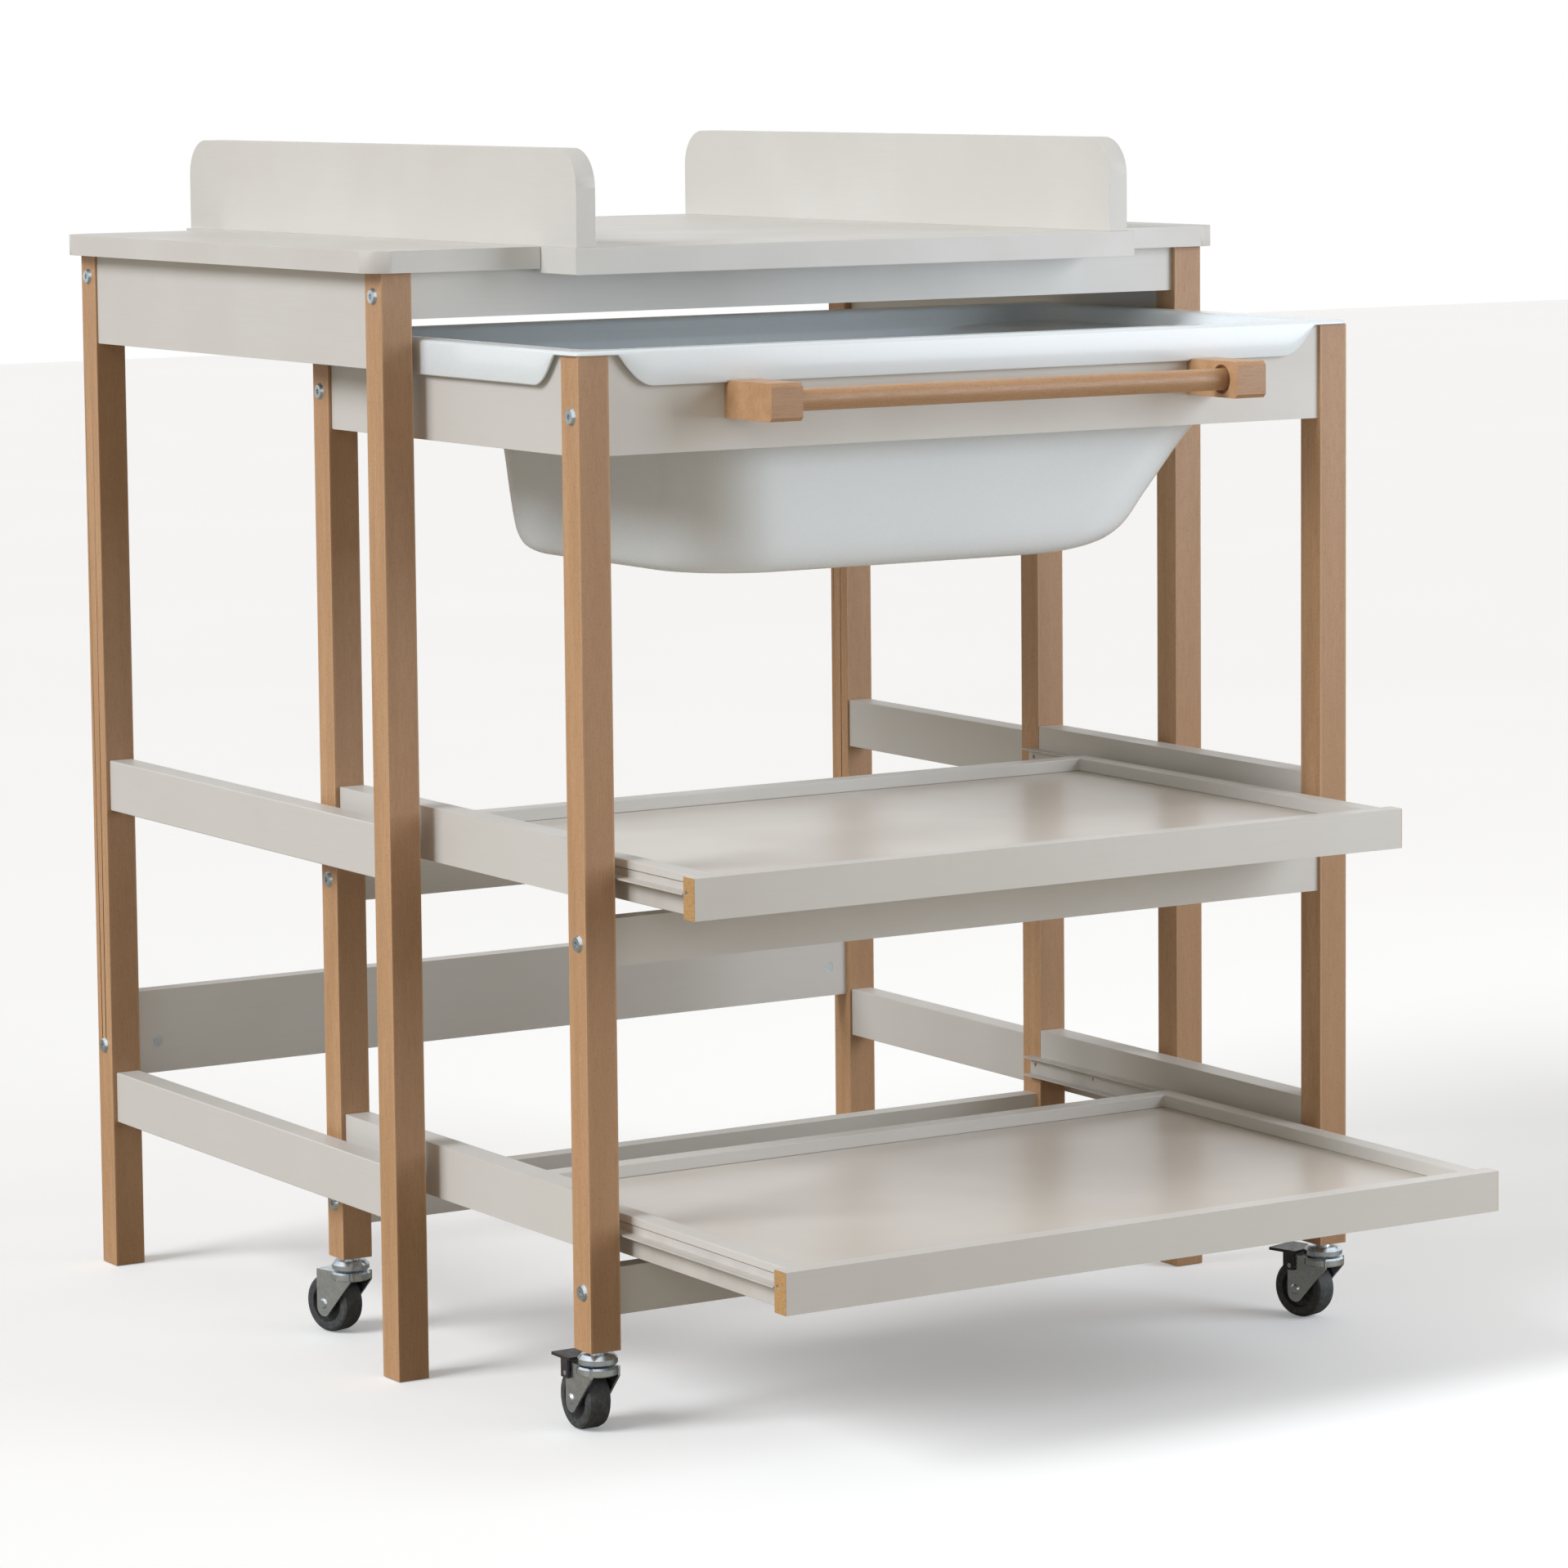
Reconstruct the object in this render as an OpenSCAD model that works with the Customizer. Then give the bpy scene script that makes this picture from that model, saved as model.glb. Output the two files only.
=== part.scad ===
// Changing table with a wheeled bath trolley that rolls out from under it.
// Millimetres. +X is the table's right, -Y its front, +Z up.
// The origin is on the floor, in the middle of the whole object as it stands.

/* [Table] */
// Width over the table's legs
table_w = 812; // [700:1:1000]
// Depth over the table's legs
table_d = 568; // [500:1:700]
// Height of the changing surface above the floor
surface_h = 926; // [850:1:1000]
// Side of the square table legs
leg = 28; // [24:1:40]
// Thickness of the top shelves
top_t = 18; // [15:1:22]
// Overhang of the top beyond the legs at each side
top_over_x = 14; // [5:1:25]
// Overhang of the top beyond the legs at front and back
top_over_y = 9; // [5:1:25]
// Radius of the top's outer corners in plan
top_corner_r = 20; // [5:1:40]
// Height of the side aprons, on table and trolley
apron_h = 78; // [60:1:90]
// Height of the table's front and back aprons
end_apron_h = 38; // [30:1:55]
// Thickness of all aprons
apron_t = 18; // [15:1:22]
// Height of the table's side rails
rail_h = 45; // [35:1:60]
// Thickness of the table's side rails
rail_t = 22; // [16:1:24]
// Step from the legs' outer faces to the rails' and end aprons' faces
inset = 4; // [2:0.5:6]
// Step from the legs' outer faces to the table's side aprons
side_apron_inset = 2; // [1:0.5:6]
// Underside of the middle side rails
mid_rail_z = 413; // [350:1:480]
// Underside of the lower side rails
low_rail_z = 131; // [100:1:180]
// Height of the back rail
back_rail_h = 75; // [50:1:100]
// Underside of the back rail
back_rail_z = 171; // [140:1:220]

/* [Changing board] */
// Width of the changing board
board_w = 552; // [480:1:600]
// Thickness of the board's overhanging front and back lips
lip_t = 22; // [18:1:28]
// Board in front of the front legs' faces
board_front = 66; // [30:1:90]
// Board behind the back legs' faces
board_back = 81; // [30:1:100]
// Board's middle to the right of the table's middle
board_shift = 13; // [-20:1:20]
// Height of the side guards
guard_h = 80; // [60:1:110]
// Thickness of the side guards
guard_t = 18; // [15:1:22]
// Radius of the guards' top corners
guard_r = 32; // [15:1:45]
// Step from the board's left edge to the left guard
guard_inset_left = 2; // [0:0.5:10]
// Step from the board's right edge to the right guard
guard_inset_right = 7; // [0:0.5:12]
// Step from the board's front edge to the guards
guard_inset_front = 2; // [0:0.5:10]
// Step from the board's back edge to the guards
guard_inset_back = 6; // [0:0.5:12]

/* [Trolley] */
// Width over the trolley's legs
cart_w = 742; // [640:1:930]
// Depth over the trolley's legs
cart_d = 447; // [400:1:540]
// Height of the trolley's leg tops above the floor
cart_h = 850; // [780:1:860]
// Side of the square trolley legs
cart_leg = 27; // [24:1:36]
// Floor to the bottoms of the trolley's legs
caster_h = 67; // [62:1:72]
// How far the trolley's front legs stand out in front of the table's
cart_out = 251; // [0:1:400]
// Trolley's middle to the right of the table's middle
cart_shift = 3; // [-6:0.5:6]
// Height of the trolley's side rails
cart_rail_h = 44; // [35:1:55]
// Underside of the upper side rails
cart_upper_rail_z = 427; // [380:1:470]
// Underside of the lower side rails
cart_lower_rail_z = 148; // [140:1:180]
// Height of the trolley's cross rails
cross_h = 38; // [30:1:45]
// Thickness of the trolley's cross rails
cross_t = 18; // [15:1:20]
// Underside of the upper cross rails
cross_upper_z = 372; // [330:1:380]
// Underside of the lower cross rails
cross_lower_z = 95; // [80:1:98]

/* [Towel bar] */
// Width of each bar block
block_w = 29; // [20:1:40]
// Height of each bar block
block_h = 30; // [24:1:40]
// Length of each bar block, out from the apron
block_l = 70; // [50:1:90]
// Underside of the bar blocks
block_z = 797; // [780:1:805]
// Distance between the bar blocks' middles
block_span = 446; // [300:1:560]
// Diameter of the bar
bar_d = 18; // [14:1:22]
// Apron face to the bar's axis
bar_out = 48; // [30:1:60]

/* [Trays] */
// Height of the tray frames
tray_h = 33; // [28:1:45]
// Width of the tray frames' sides
tray_side_w = 18; // [14:1:22]
// Thickness of the tray front boards
tray_front_t = 16; // [12:1:20]
// Floor of the tray below the top of its frame
tray_sink = 11; // [6:1:20]
// Thickness of the tray floor
tray_floor_t = 6; // [4:1:9]
// Underside of the upper tray
tray_upper_z = 422; // [412:1:440]
// Underside of the lower tray
tray_lower_z = 139; // [135:1:150]
// How far the upper tray is pulled out of the trolley
tray_upper_out = 115; // [0:1:250]
// How far the lower tray is pulled out of the trolley
tray_lower_out = 242; // [0:1:250]
// Gap between a tray front's end and the leg beside it
tray_gap = 3; // [1:0.5:5]
// Leg's inner face to the tray frame, the room for a runner
runner_gap = 12.5; // [11:0.5:15]

/* [Tub] */
// Rim of the tub beyond the trolley's legs
rim_out = 2.5; // [1:0.5:4]
// Height of the skirt that hangs from the rim
skirt_h = 24; // [16:1:35]
// Wall thickness of the tub
tub_t = 3; // [2:0.5:5]
// Depth of the tub below the rim's underside
tub_depth = 187; // [120:1:230]
// Width of the ledge at the tub's left end
ledge_left = 88; // [40:1:120]
// Width of the ledge at the tub's right end
ledge_right = 62; // [40:1:120]

/* [Casters] */
// Diameter of the wheels
wheel_d = 50; // [45:1:52]
// Width of the wheels
wheel_w = 20; // [16:1:24]
// Distance from the swivel axis back to the wheel's axle
trail = 20; // [14:1:24]
// Turn of the front left caster about its stem, in degrees
turn_fl = 0; // [-180:1:180]
// Turn of the front right caster about its stem, in degrees
turn_fr = 16; // [-180:1:180]
// Turn of the back left caster about its stem, in degrees
turn_bl = 16; // [-180:1:180]
// Turn of the back right caster about its stem, in degrees
turn_br = 8; // [-180:1:180]

/* [Hidden] */
$fn = 48;

// Gap between parts that lie flat beside each other
part_gap = 0.5;
// Clearance under the tub's rim, over the legs and aprons that carry it
rest_gap = 0.9;
// Radial clearance of a wheel or pedal on its axle
run_gap = 0.05;

// Table
frame_h = surface_h - top_t;
table_front = (cart_out + tray_lower_out - table_d - board_back) / 2;
table_back = table_front + table_d;
table_x = table_w / 2;
board_left = board_shift - board_w / 2;
board_right = board_shift + board_w / 2;
board_y0 = table_front - board_front;
board_y1 = table_back + board_back;
// The board's lips start this far outside the aprons
lip_gap = 1;

// Connecting bolts and the round nuts they pull on
bolt_d = 6;
bolt_hole_d = 6.5;
bolt_head_d = 14;
bolt_head_t = 2.4;
socket_d = 5;
socket_depth = 1.6;
nut_d = 10;
nut_reach = 20;
// Wood left in front of a nut at the board's outer face
nut_skin = 4;
back_bolt_z = 199;
front_bolt_z = frame_h - end_apron_h / 2;
// Middles of the table's cross boards; the aprons stand a little further in than the rails
end_apron_inset = inset + 1;
front_board_y = table_front + end_apron_inset + apron_t / 2;
back_board_y = table_back - end_apron_inset - apron_t / 2;
back_rail_y = table_back - inset - apron_t / 2;

// Trolley
cart_front = table_front - cart_out;
cart_back = cart_front + cart_d;
cart_left = cart_shift - cart_w / 2;
cart_right = cart_shift + cart_w / 2;
cart_apron_inset = 3;
cart_rail_t = cart_leg - inset;
cart_apron_bolt_z = 803;
cart_front_face = cart_front + cart_apron_inset;
bar_z = block_z + block_h / 2;
bar_y = cart_front_face - bar_out;
bar_hole_depth = 14;
// Wider mouth of the bar's hole: extra diameter and depth
bar_mouth = 6;
bar_mouth_depth = 5;
block_edge = 3;

// Trays and their runners
tray_d = cart_d - 2;
tray_front_w = cart_w - 2 * (cart_leg + tray_gap);
tray_frame_w = cart_w - 2 * (cart_leg + runner_gap);
tray_strip_h = 7;
tray_rebate = 2;
floor_groove = 6;
runner_l = 400;
runner_h = 17.5;
runner_z = 11;
runner_t = 1.2;
runner_depth = 9.5;
runner_start = 34;
screw_d = 4;
flange_z = 7.5;
flange_reach = 2.5;
roller_r = 2.7;

// Tub
rim_under = cart_h + rest_gap;
rim_top = rim_under + tub_t;
tub_floor = rim_under - tub_depth;
skirt_z = rim_top - skirt_h - tub_t - 1;
tub_x0 = cart_left - rim_out;
tub_x1 = cart_right + rim_out;
tub_y0 = cart_front - rim_out;
tub_y1 = cart_back + rim_out;
rim_corner = 10;
// Skirt cut away beside each leg: it starts and ends this far from the rim's corner arcs
notch_start = cart_leg - rim_corner + 10;
notch_run = 32;
// Below 1 makes the hem fall steeply beside the leg and run out softly further along
notch_lean = 0.62;
notch_end = notch_start + notch_run;
// Inside faces of the aprons, plus the room left for the basin
basin_room = 1.5;
basin_x0 = cart_left + cart_apron_inset + apron_t + basin_room;
// The basin's corners curve clear of the inner corners of the legs
leg_reach = cart_leg - cart_apron_inset - apron_t - basin_room;
basin_corner = max(22, (leg_reach * sqrt(2) + part_gap) / (sqrt(2) - 1));
basin_x1 = cart_right - cart_apron_inset - apron_t - 1.5;
basin_y0 = cart_front + cart_apron_inset + apron_t + 1.5;
basin_y1 = cart_back - cart_apron_inset - apron_t - 1.5;

// Casters
stem_d = 8;
stem_l = 24;
neck_d = 13;
race_d = 32;
head_d = 34;
fork_plate_t = 2.5;
fork_wall = 2;
fork_top = wheel_d + 2 + fork_plate_t;
fork_gap = wheel_w / 2 + 1.5;
axle_r = 3;
rivet_r = 4.5;
race_bottom = fork_top + 1;
neck_h = 3;
pedal_half_w = 16;
pedal_pin_r = 2;
pedal_pin_y = trail + 4;
pedal_pin_z = fork_top - 9;
ear_gap = 0.6;
ear_t = 2;

wood = [0.78, 0.62, 0.44];
paint = [0.83, 0.82, 0.80];
zinc = [0.75, 0.77, 0.80];
rubber = [0.35, 0.35, 0.37];
plastic = [0.88, 0.90, 0.92];
dark = [0.16, 0.14, 0.16];

// A box between two opposite corners
module block(low, high) {
    translate(low)
        cube(high - low);
}

// ---------------------------------------------------------------- table

// A table leg; side is -1 left or 1 right, end is -1 front or 1 back
module table_leg(side, end) {
    x0 = side < 0 ? -table_x : table_x - leg;
    y0 = end < 0 ? table_front : table_back - leg;
    holes = end < 0 ? [[front_board_y, front_bolt_z]]
        : [[back_board_y, front_bolt_z], [back_rail_y, back_bolt_z]];
    color(wood)
        difference() {
            block([x0, y0, 0], [x0 + leg, y0 + leg, frame_h]);
            for (hole = holes)
                translate([x0 - 1, hole[0], hole[1]])
                    rotate([0, 90, 0])
                        cylinder(h = leg + 2, d = bolt_hole_d);
        }
}

// A board along Y between the table's legs on one side
module side_board(side, step, thick, z0, height) {
    outer = table_x - step;
    x0 = side < 0 ? -outer : outer - thick;
    color(paint)
        block([x0, table_front + leg, z0], [x0 + thick, table_back - leg, z0 + height]);
}

// A board along X between two legs, bored from each end for a bolt and from its inner face
// for the bolt's nut; inner is 1 if that face looks to the back, -1 if to the front
module cross_board(x0, x1, y0, thick, z0, height, bolt_z, inner) {
    mid_y = y0 + thick / 2;
    inner_y = mid_y + inner * thick / 2;
    color(paint)
        difference() {
            block([x0, y0, z0], [x1, y0 + thick, z0 + height]);
            for (end = [x0 + nut_reach / 2, x1 - nut_reach / 2])
                translate([end, mid_y, bolt_z])
                    rotate([0, 90, 0])
                        cylinder(h = nut_reach + 12, d = bolt_hole_d, center = true);
            for (x = [x0 + nut_reach, x1 - nut_reach])
                translate([x, inner_y, bolt_z])
                    rotate([90, 0, 0])
                        cylinder(h = 2 * (thick - nut_skin), d = nut_d, center = true);
        }
}

// A bolt through a leg's outer face and the round nut it screws into; side is -1 left or 1
// right, y is the middle of the board that holds the nut and thick is its thickness
module bolt_and_nut(face_x, side, y, z, through, thick, inner) {
    inward = -side;
    nut_x = face_x + inward * (through + nut_reach);
    nut_l = thick - nut_skin - 0.5;
    nut_y = y + inner * (thick - nut_l) / 2 - inner * 0.2;
    reach = through + nut_reach + nut_d / 2 - 0.5;
    translate([face_x, y, z])
        rotate([0, inward * 90, 0])
            difference() {
                union() {
                    cylinder(h = reach, d = bolt_d);
                    translate([0, 0, -bolt_head_t])
                        cylinder(h = bolt_head_t, d1 = bolt_head_d - 3, d2 = bolt_head_d);
                }
                translate([0, 0, -bolt_head_t - 1])
                    cylinder(h = socket_depth + 1, d = socket_d, $fn = 6);
            }
    difference() {
        translate([nut_x, nut_y, z])
            rotate([90, 0, 0])
                cylinder(h = nut_l, d = nut_d - 0.1, center = true);
        translate([nut_x, y, z])
            rotate([0, 90, 0])
                cylinder(h = nut_d + 2, d = bolt_d + 0.2, center = true);
    }
}

module table_apron_front() {
    cross_board(-table_x + leg, table_x - leg, front_board_y - apron_t / 2, apron_t,
        frame_h - end_apron_h, end_apron_h, front_bolt_z, 1);
}

module table_apron_back() {
    cross_board(-table_x + leg, table_x - leg, back_board_y - apron_t / 2, apron_t,
        frame_h - end_apron_h, end_apron_h, front_bolt_z, -1);
}

module table_back_rail() {
    cross_board(-table_x + leg, table_x - leg, back_rail_y - apron_t / 2, apron_t,
        back_rail_z, back_rail_h, back_bolt_z, -1);
}

module table_bolts() {
    color(zinc)
        for (side = [-1, 1]) {
            bolt_and_nut(side * table_x, side, front_board_y, front_bolt_z, leg, apron_t, 1);
            bolt_and_nut(side * table_x, side, back_board_y, front_bolt_z, leg, apron_t, -1);
            bolt_and_nut(side * table_x, side, back_rail_y, back_bolt_z, leg, apron_t, -1);
        }
}

// Half of the top, from the changing board out to the table's end, outer corners rounded
module top_shelf(side) {
    outer = side * (table_x + top_over_x);
    inner = side < 0 ? board_left - part_gap : board_right + part_gap;
    y0 = table_front - top_over_y;
    y1 = table_back + top_over_y;
    turn = outer - side * top_corner_r;
    color(paint)
        translate([0, 0, frame_h])
            linear_extrude(top_t)
                union() {
                    translate([min(inner, turn), y0])
                        square([abs(turn - inner), y1 - y0]);
                    translate([min(outer, turn), y0 + top_corner_r])
                        square([top_corner_r, y1 - y0 - 2 * top_corner_r]);
                    for (y = [y0 + top_corner_r, y1 - top_corner_r])
                        translate([turn, y])
                            circle(r = top_corner_r);
                }
}

// The board between the guards; its lips outside the frame are thicker than the rest
module changing_board() {
    front_lip = table_front - lip_gap;
    back_lip = table_back + lip_gap;
    color(paint)
        union() {
            block([board_left, board_y0, frame_h], [board_right, board_y1, surface_h]);
            block([board_left, board_y0, surface_h - lip_t], [board_right, front_lip, surface_h]);
            block([board_left, back_lip, surface_h - lip_t], [board_right, board_y1, surface_h]);
        }
}

// An upright side guard standing on the changing board
module guard(side) {
    x0 = side < 0 ? board_left + guard_inset_left : board_right - guard_inset_right - guard_t;
    y0 = board_y0 + guard_inset_front;
    y1 = board_y1 - guard_inset_back;
    color(paint)
        translate([x0, 0, surface_h])
            rotate([90, 0, 90])
                linear_extrude(guard_t)
                    union() {
                        translate([y0, 0])
                            square([y1 - y0, guard_h - guard_r]);
                        translate([y0 + guard_r, 0])
                            square([y1 - y0 - 2 * guard_r, guard_h]);
                        for (y = [y0 + guard_r, y1 - guard_r])
                            translate([y, guard_h - guard_r])
                                circle(r = guard_r);
                    }
}

// -------------------------------------------------------------- trolley

// Middle of the cross boards at the trolley's front or back, where their bolts run
function cart_bolt_y(end) = end < 0 ? cart_front_face + apron_t / 2
    : cart_back - cart_apron_inset - apron_t / 2;

module cart_leg_post(side, end) {
    x0 = side < 0 ? cart_left : cart_right - cart_leg;
    y0 = end < 0 ? cart_front : cart_back - cart_leg;
    mid = cart_leg / 2;
    bolt_y = cart_bolt_y(end);
    color(wood)
        difference() {
            block([x0, y0, caster_h], [x0 + cart_leg, y0 + cart_leg, cart_h]);
            for (z = [cart_apron_bolt_z, cross_upper_z + cross_h / 2, cross_lower_z + cross_h / 2])
                translate([x0 - 1, bolt_y, z])
                    rotate([0, 90, 0])
                        cylinder(h = cart_leg + 2, d = bolt_hole_d);
            translate([x0 + mid, y0 + mid, caster_h - 1])
                cylinder(h = stem_l + 2, d = stem_d + 0.4);
        }
}

// A board along Y between the trolley's legs on one side
module cart_side_board(side, step, thick, z0, height) {
    x0 = side < 0 ? cart_left + step : cart_right - step - thick;
    color(paint)
        block([x0, cart_front + cart_leg, z0], [x0 + thick, cart_back - cart_leg, z0 + height]);
}

// A board along X between the trolley's legs at its front or back
module cart_cross(end, thick, z0, height, bolt_z) {
    y0 = cart_bolt_y(end) - thick / 2;
    cross_board(cart_left + cart_leg, cart_right - cart_leg, y0, thick, z0, height, bolt_z, -end);
}

module cart_bolts() {
    color(zinc)
        for (side = [-1, 1], end = [-1, 1],
             z = [cart_apron_bolt_z, cross_upper_z + cross_h / 2, cross_lower_z + cross_h / 2]) {
            face_x = side < 0 ? cart_left : cart_right;
            bolt_and_nut(face_x, side, cart_bolt_y(end), z, cart_leg, apron_t, -end);
        }
}

// Block on the front apron, its outer edges eased, bored for the bar
module bar_block(side) {
    x0 = cart_shift + side * block_span / 2 - block_w / 2;
    y0 = cart_front_face - block_l;
    bore_x = side < 0 ? x0 + block_w - bar_hole_depth : x0 - 1;
    e = block_edge;
    difference() {
        translate([x0, 0, 0])
            rotate([90, 0, 90])
                linear_extrude(block_w)
                    polygon([
                        [cart_front_face, block_z],
                        [cart_front_face, block_z + block_h],
                        [y0 + e, block_z + block_h],
                        [y0, block_z + block_h - e],
                        [y0, block_z + e],
                        [y0 + e, block_z]
                    ]);
        translate([bore_x, bar_y, bar_z])
            rotate([0, 90, 0])
                cylinder(h = bar_hole_depth + 1, d = bar_d + 0.4);
        translate([side < 0 ? x0 + block_w : x0, bar_y, bar_z])
            rotate([0, 90, 0])
                cylinder(h = 2 * bar_mouth_depth, d = bar_d + bar_mouth, center = true);
        // Rebate that lets the tub's skirt hang down behind the block's top edge
        block([x0 - 1, tub_y0 - skirt_room, skirt_z - hem_drop - skirt_room],
            [x0 + block_w + 1, cart_front_face + 1, block_z + block_h + 1]);
    }
}

module bar_blocks() {
    color(wood)
        for (side = [-1, 1])
            bar_block(side);
}

module towel_bar() {
    half = block_span / 2 - block_w / 2 + bar_hole_depth - 1;
    color(wood)
        translate([cart_shift - half, bar_y, bar_z])
            rotate([0, 90, 0])
                cylinder(h = 2 * half, d = bar_d);
}

// ---------------------------------------------------------------- trays

// Runner channel screwed to a side rail, with a roller at its front end
module fixed_runner(side, tray_z) {
    z0 = tray_z + runner_z;
    y0 = cart_front + runner_start;
    y1 = y0 + runner_l;
    face = side < 0 ? cart_left + cart_leg : cart_right - cart_leg;
    translate([face, 0, z0])
        mirror([side < 0 ? 0 : 1, 0, 0]) {
            difference() {
                union() {
                    block([0, y0, 0], [runner_t, y1, runner_h]);
                    block([0, y0, 0], [runner_depth, y1, runner_t]);
                    block([0, y0, runner_h - runner_t], [runner_depth, y1, runner_h]);
                }
                for (y = [y0 + 60, y0 + 170, y1 - 100, y1 - 8])
                    translate([-1, y, runner_h / 2 + 1])
                        rotate([0, 90, 0])
                            cylinder(h = 3, d = screw_d, $fn = 24);
            }
            translate([runner_t, y0 + 6, runner_t + 0.3 + roller_r])
                rotate([0, 90, 0])
                    cylinder(h = 7, r = roller_r, $fn = 32);
        }
}

module fixed_runners(tray_z) {
    color(plastic)
        for (side = [-1, 1])
            fixed_runner(side, tray_z);
}

// Runner strip on the tray's side: its flange rides in the channel, a roller at its back end
module tray_runner(side, tray_z, out) {
    face = side < 0 ? cart_left + cart_leg : cart_right - cart_leg;
    y0 = cart_front - out + tray_front_t + 1;
    y1 = y0 + runner_l;
    web = runner_gap + tray_rebate - runner_t;
    translate([face, 0, tray_z])
        mirror([side < 0 ? 0 : 1, 0, 0]) {
            block([web, y0, 1], [web + runner_t, y1, tray_h - tray_strip_h - 0.5]);
            block([flange_reach, y0, runner_z + flange_z],
                [web, y1, runner_z + flange_z + runner_t]);
            translate([flange_reach, y1 - 6, runner_z + runner_t + 0.3 + roller_r])
                rotate([0, 90, 0])
                    cylinder(h = web - flange_reach, r = roller_r, $fn = 32);
        }
}

module tray_runners(tray_z, out) {
    color(plastic)
        for (side = [-1, 1])
            tray_runner(side, tray_z, out);
}

// The panel that a tray's floor fills, grooves included
module tray_floor(tray_z, out) {
    half = tray_frame_w / 2 - tray_side_w + floor_groove;
    y0 = cart_front - out + tray_front_t - floor_groove;
    y1 = cart_front - out + tray_d - tray_side_w + floor_groove;
    top = tray_z + tray_h - tray_sink;
    color(paint)
        block([cart_shift - half, y0, top - tray_floor_t], [cart_shift + half, y1, top]);
}

// Front board of a tray, with a dowel hole in each end
module tray_front(tray_z, out) {
    half = tray_front_w / 2;
    y0 = cart_front - out;
    color(paint)
        difference() {
            block([cart_shift - half, y0, tray_z], [cart_shift + half, y0 + tray_front_t,
                tray_z + tray_h]);
            tray_floor(tray_z, out);
            for (x = [cart_shift - half, cart_shift + half])
                translate([x, y0 + tray_front_t - 4.5, tray_z + tray_h * 0.62])
                    rotate([0, 90, 0])
                        cylinder(h = 20, d = 4, center = true, $fn = 24);
        }
}

// One side of a tray frame in section: a strip on top, a rebate under it for the runner
module tray_side_section() {
    polygon([
        [tray_rebate, 0],
        [tray_side_w, 0],
        [tray_side_w, tray_h],
        [0, tray_h],
        [0, tray_h - tray_strip_h],
        [tray_rebate, tray_h - tray_strip_h]
    ]);
}

// Sides and back of a tray: three boards, butted at the back corners
module tray_frame(tray_z, out) {
    x0 = cart_shift - tray_frame_w / 2;
    x1 = cart_shift + tray_frame_w / 2;
    y0 = cart_front - out + tray_front_t;
    y1 = cart_front - out + tray_d;
    side_l = y1 - y0;
    color(paint) {
        difference() {
            translate([x0, y1, tray_z])
                rotate([90, 0, 0])
                    linear_extrude(side_l)
                        tray_side_section();
            tray_floor(tray_z, out);
        }
        difference() {
            translate([x1, y0, tray_z])
                rotate([90, 0, 180])
                    linear_extrude(side_l)
                        tray_side_section();
            tray_floor(tray_z, out);
        }
        difference() {
            block([x0 + tray_side_w, y1 - tray_side_w, tray_z],
                [x1 - tray_side_w, y1, tray_z + tray_h]);
            tray_floor(tray_z, out);
        }
    }
}

// ------------------------------------------------------------------ tub

arc_steps = 5;
// Distances from a corner arc along a straight edge, at which the tub has points
notch_steps = 6;
edge_marks = concat(
    [for (i = [0 : notch_steps]) notch_start + notch_run * i / notch_steps],
    [notch_end + 60]
);
edge_n = len(edge_marks);

// Places along an edge of the rim as fractions of its straight length, from both ends
function edge_fractions(length) = concat(
    [for (d = edge_marks) d / length],
    [for (i = [edge_n - 1 : -1 : 0]) 1 - edge_marks[i] / length]
);

frac_x = edge_fractions(tub_x1 - tub_x0 - 2 * rim_corner);
frac_y = edge_fractions(tub_y1 - tub_y0 - 2 * rim_corner);

function corner_arc(cx, cy, r, start, z) = [
    for (i = [0 : arc_steps])
        let (a = start + 90 * i / arc_steps)
            [cx + r * cos(a), cy + r * sin(a), z]
];

function edge_points(from, to, fractions, z) = [
    for (f = fractions)
        [from[0] + f * (to[0] - from[0]), from[1] + f * (to[1] - from[1]), z]
];

// A rounded rectangle at one height: box is [x0, y0, x1, y1]
function ring(box, r, z) = let (x0 = box[0], y0 = box[1], x1 = box[2], y1 = box[3]) concat(
    corner_arc(x0 + r, y0 + r, r, 180, z),
    edge_points([x0 + r, y0], [x1 - r, y0], frac_x, z),
    corner_arc(x1 - r, y0 + r, r, 270, z),
    edge_points([x1, y0 + r], [x1, y1 - r], frac_y, z),
    corner_arc(x1 - r, y1 - r, r, 0, z),
    edge_points([x1 - r, y1], [x0 + r, y1], frac_x, z),
    corner_arc(x0 + r, y1 - r, r, 90, z),
    edge_points([x0, y1 - r], [x0, y0 + r], frac_y, z)
);

// The skirt's depth below the rim at each point of a ring: none at a leg, full between legs
function ease(t) = t <= 0 ? 0 : t >= 1 ? 1 : t * t * (3 - 2 * t);
notch_profile = [
    for (d = edge_marks) ease(pow(max(d - notch_start, 0) / notch_run, notch_lean))
];
function edge_profile() = concat(
    notch_profile, [for (i = [edge_n - 1 : -1 : 0]) notch_profile[i]]
);
no_skirt = [for (i = [0 : arc_steps]) 0];
skirt_profile = concat(
    no_skirt, edge_profile(), no_skirt, edge_profile(),
    no_skirt, edge_profile(), no_skirt, edge_profile()
);
ring_n = len(skirt_profile);

// The ring that ends the skirt: full height at a leg, lowered between legs
function hem(points, high, low) = [
    for (i = [0 : ring_n - 1])
        [points[i][0], points[i][1], high + (low - high) * skirt_profile[i]]
];

function grow(box, d) = [box[0] - d, box[1] - d, box[2] + d, box[3] + d];

rim_box = [tub_x0, tub_y0, tub_x1, tub_y1];
skirt_wall = 2;
// The hem's rounded edge ends this far below the skirt's nominal height
hem_drop = 0.6;
// Room between the skirt and the towel bar's blocks
skirt_room = 0.6;

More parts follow.
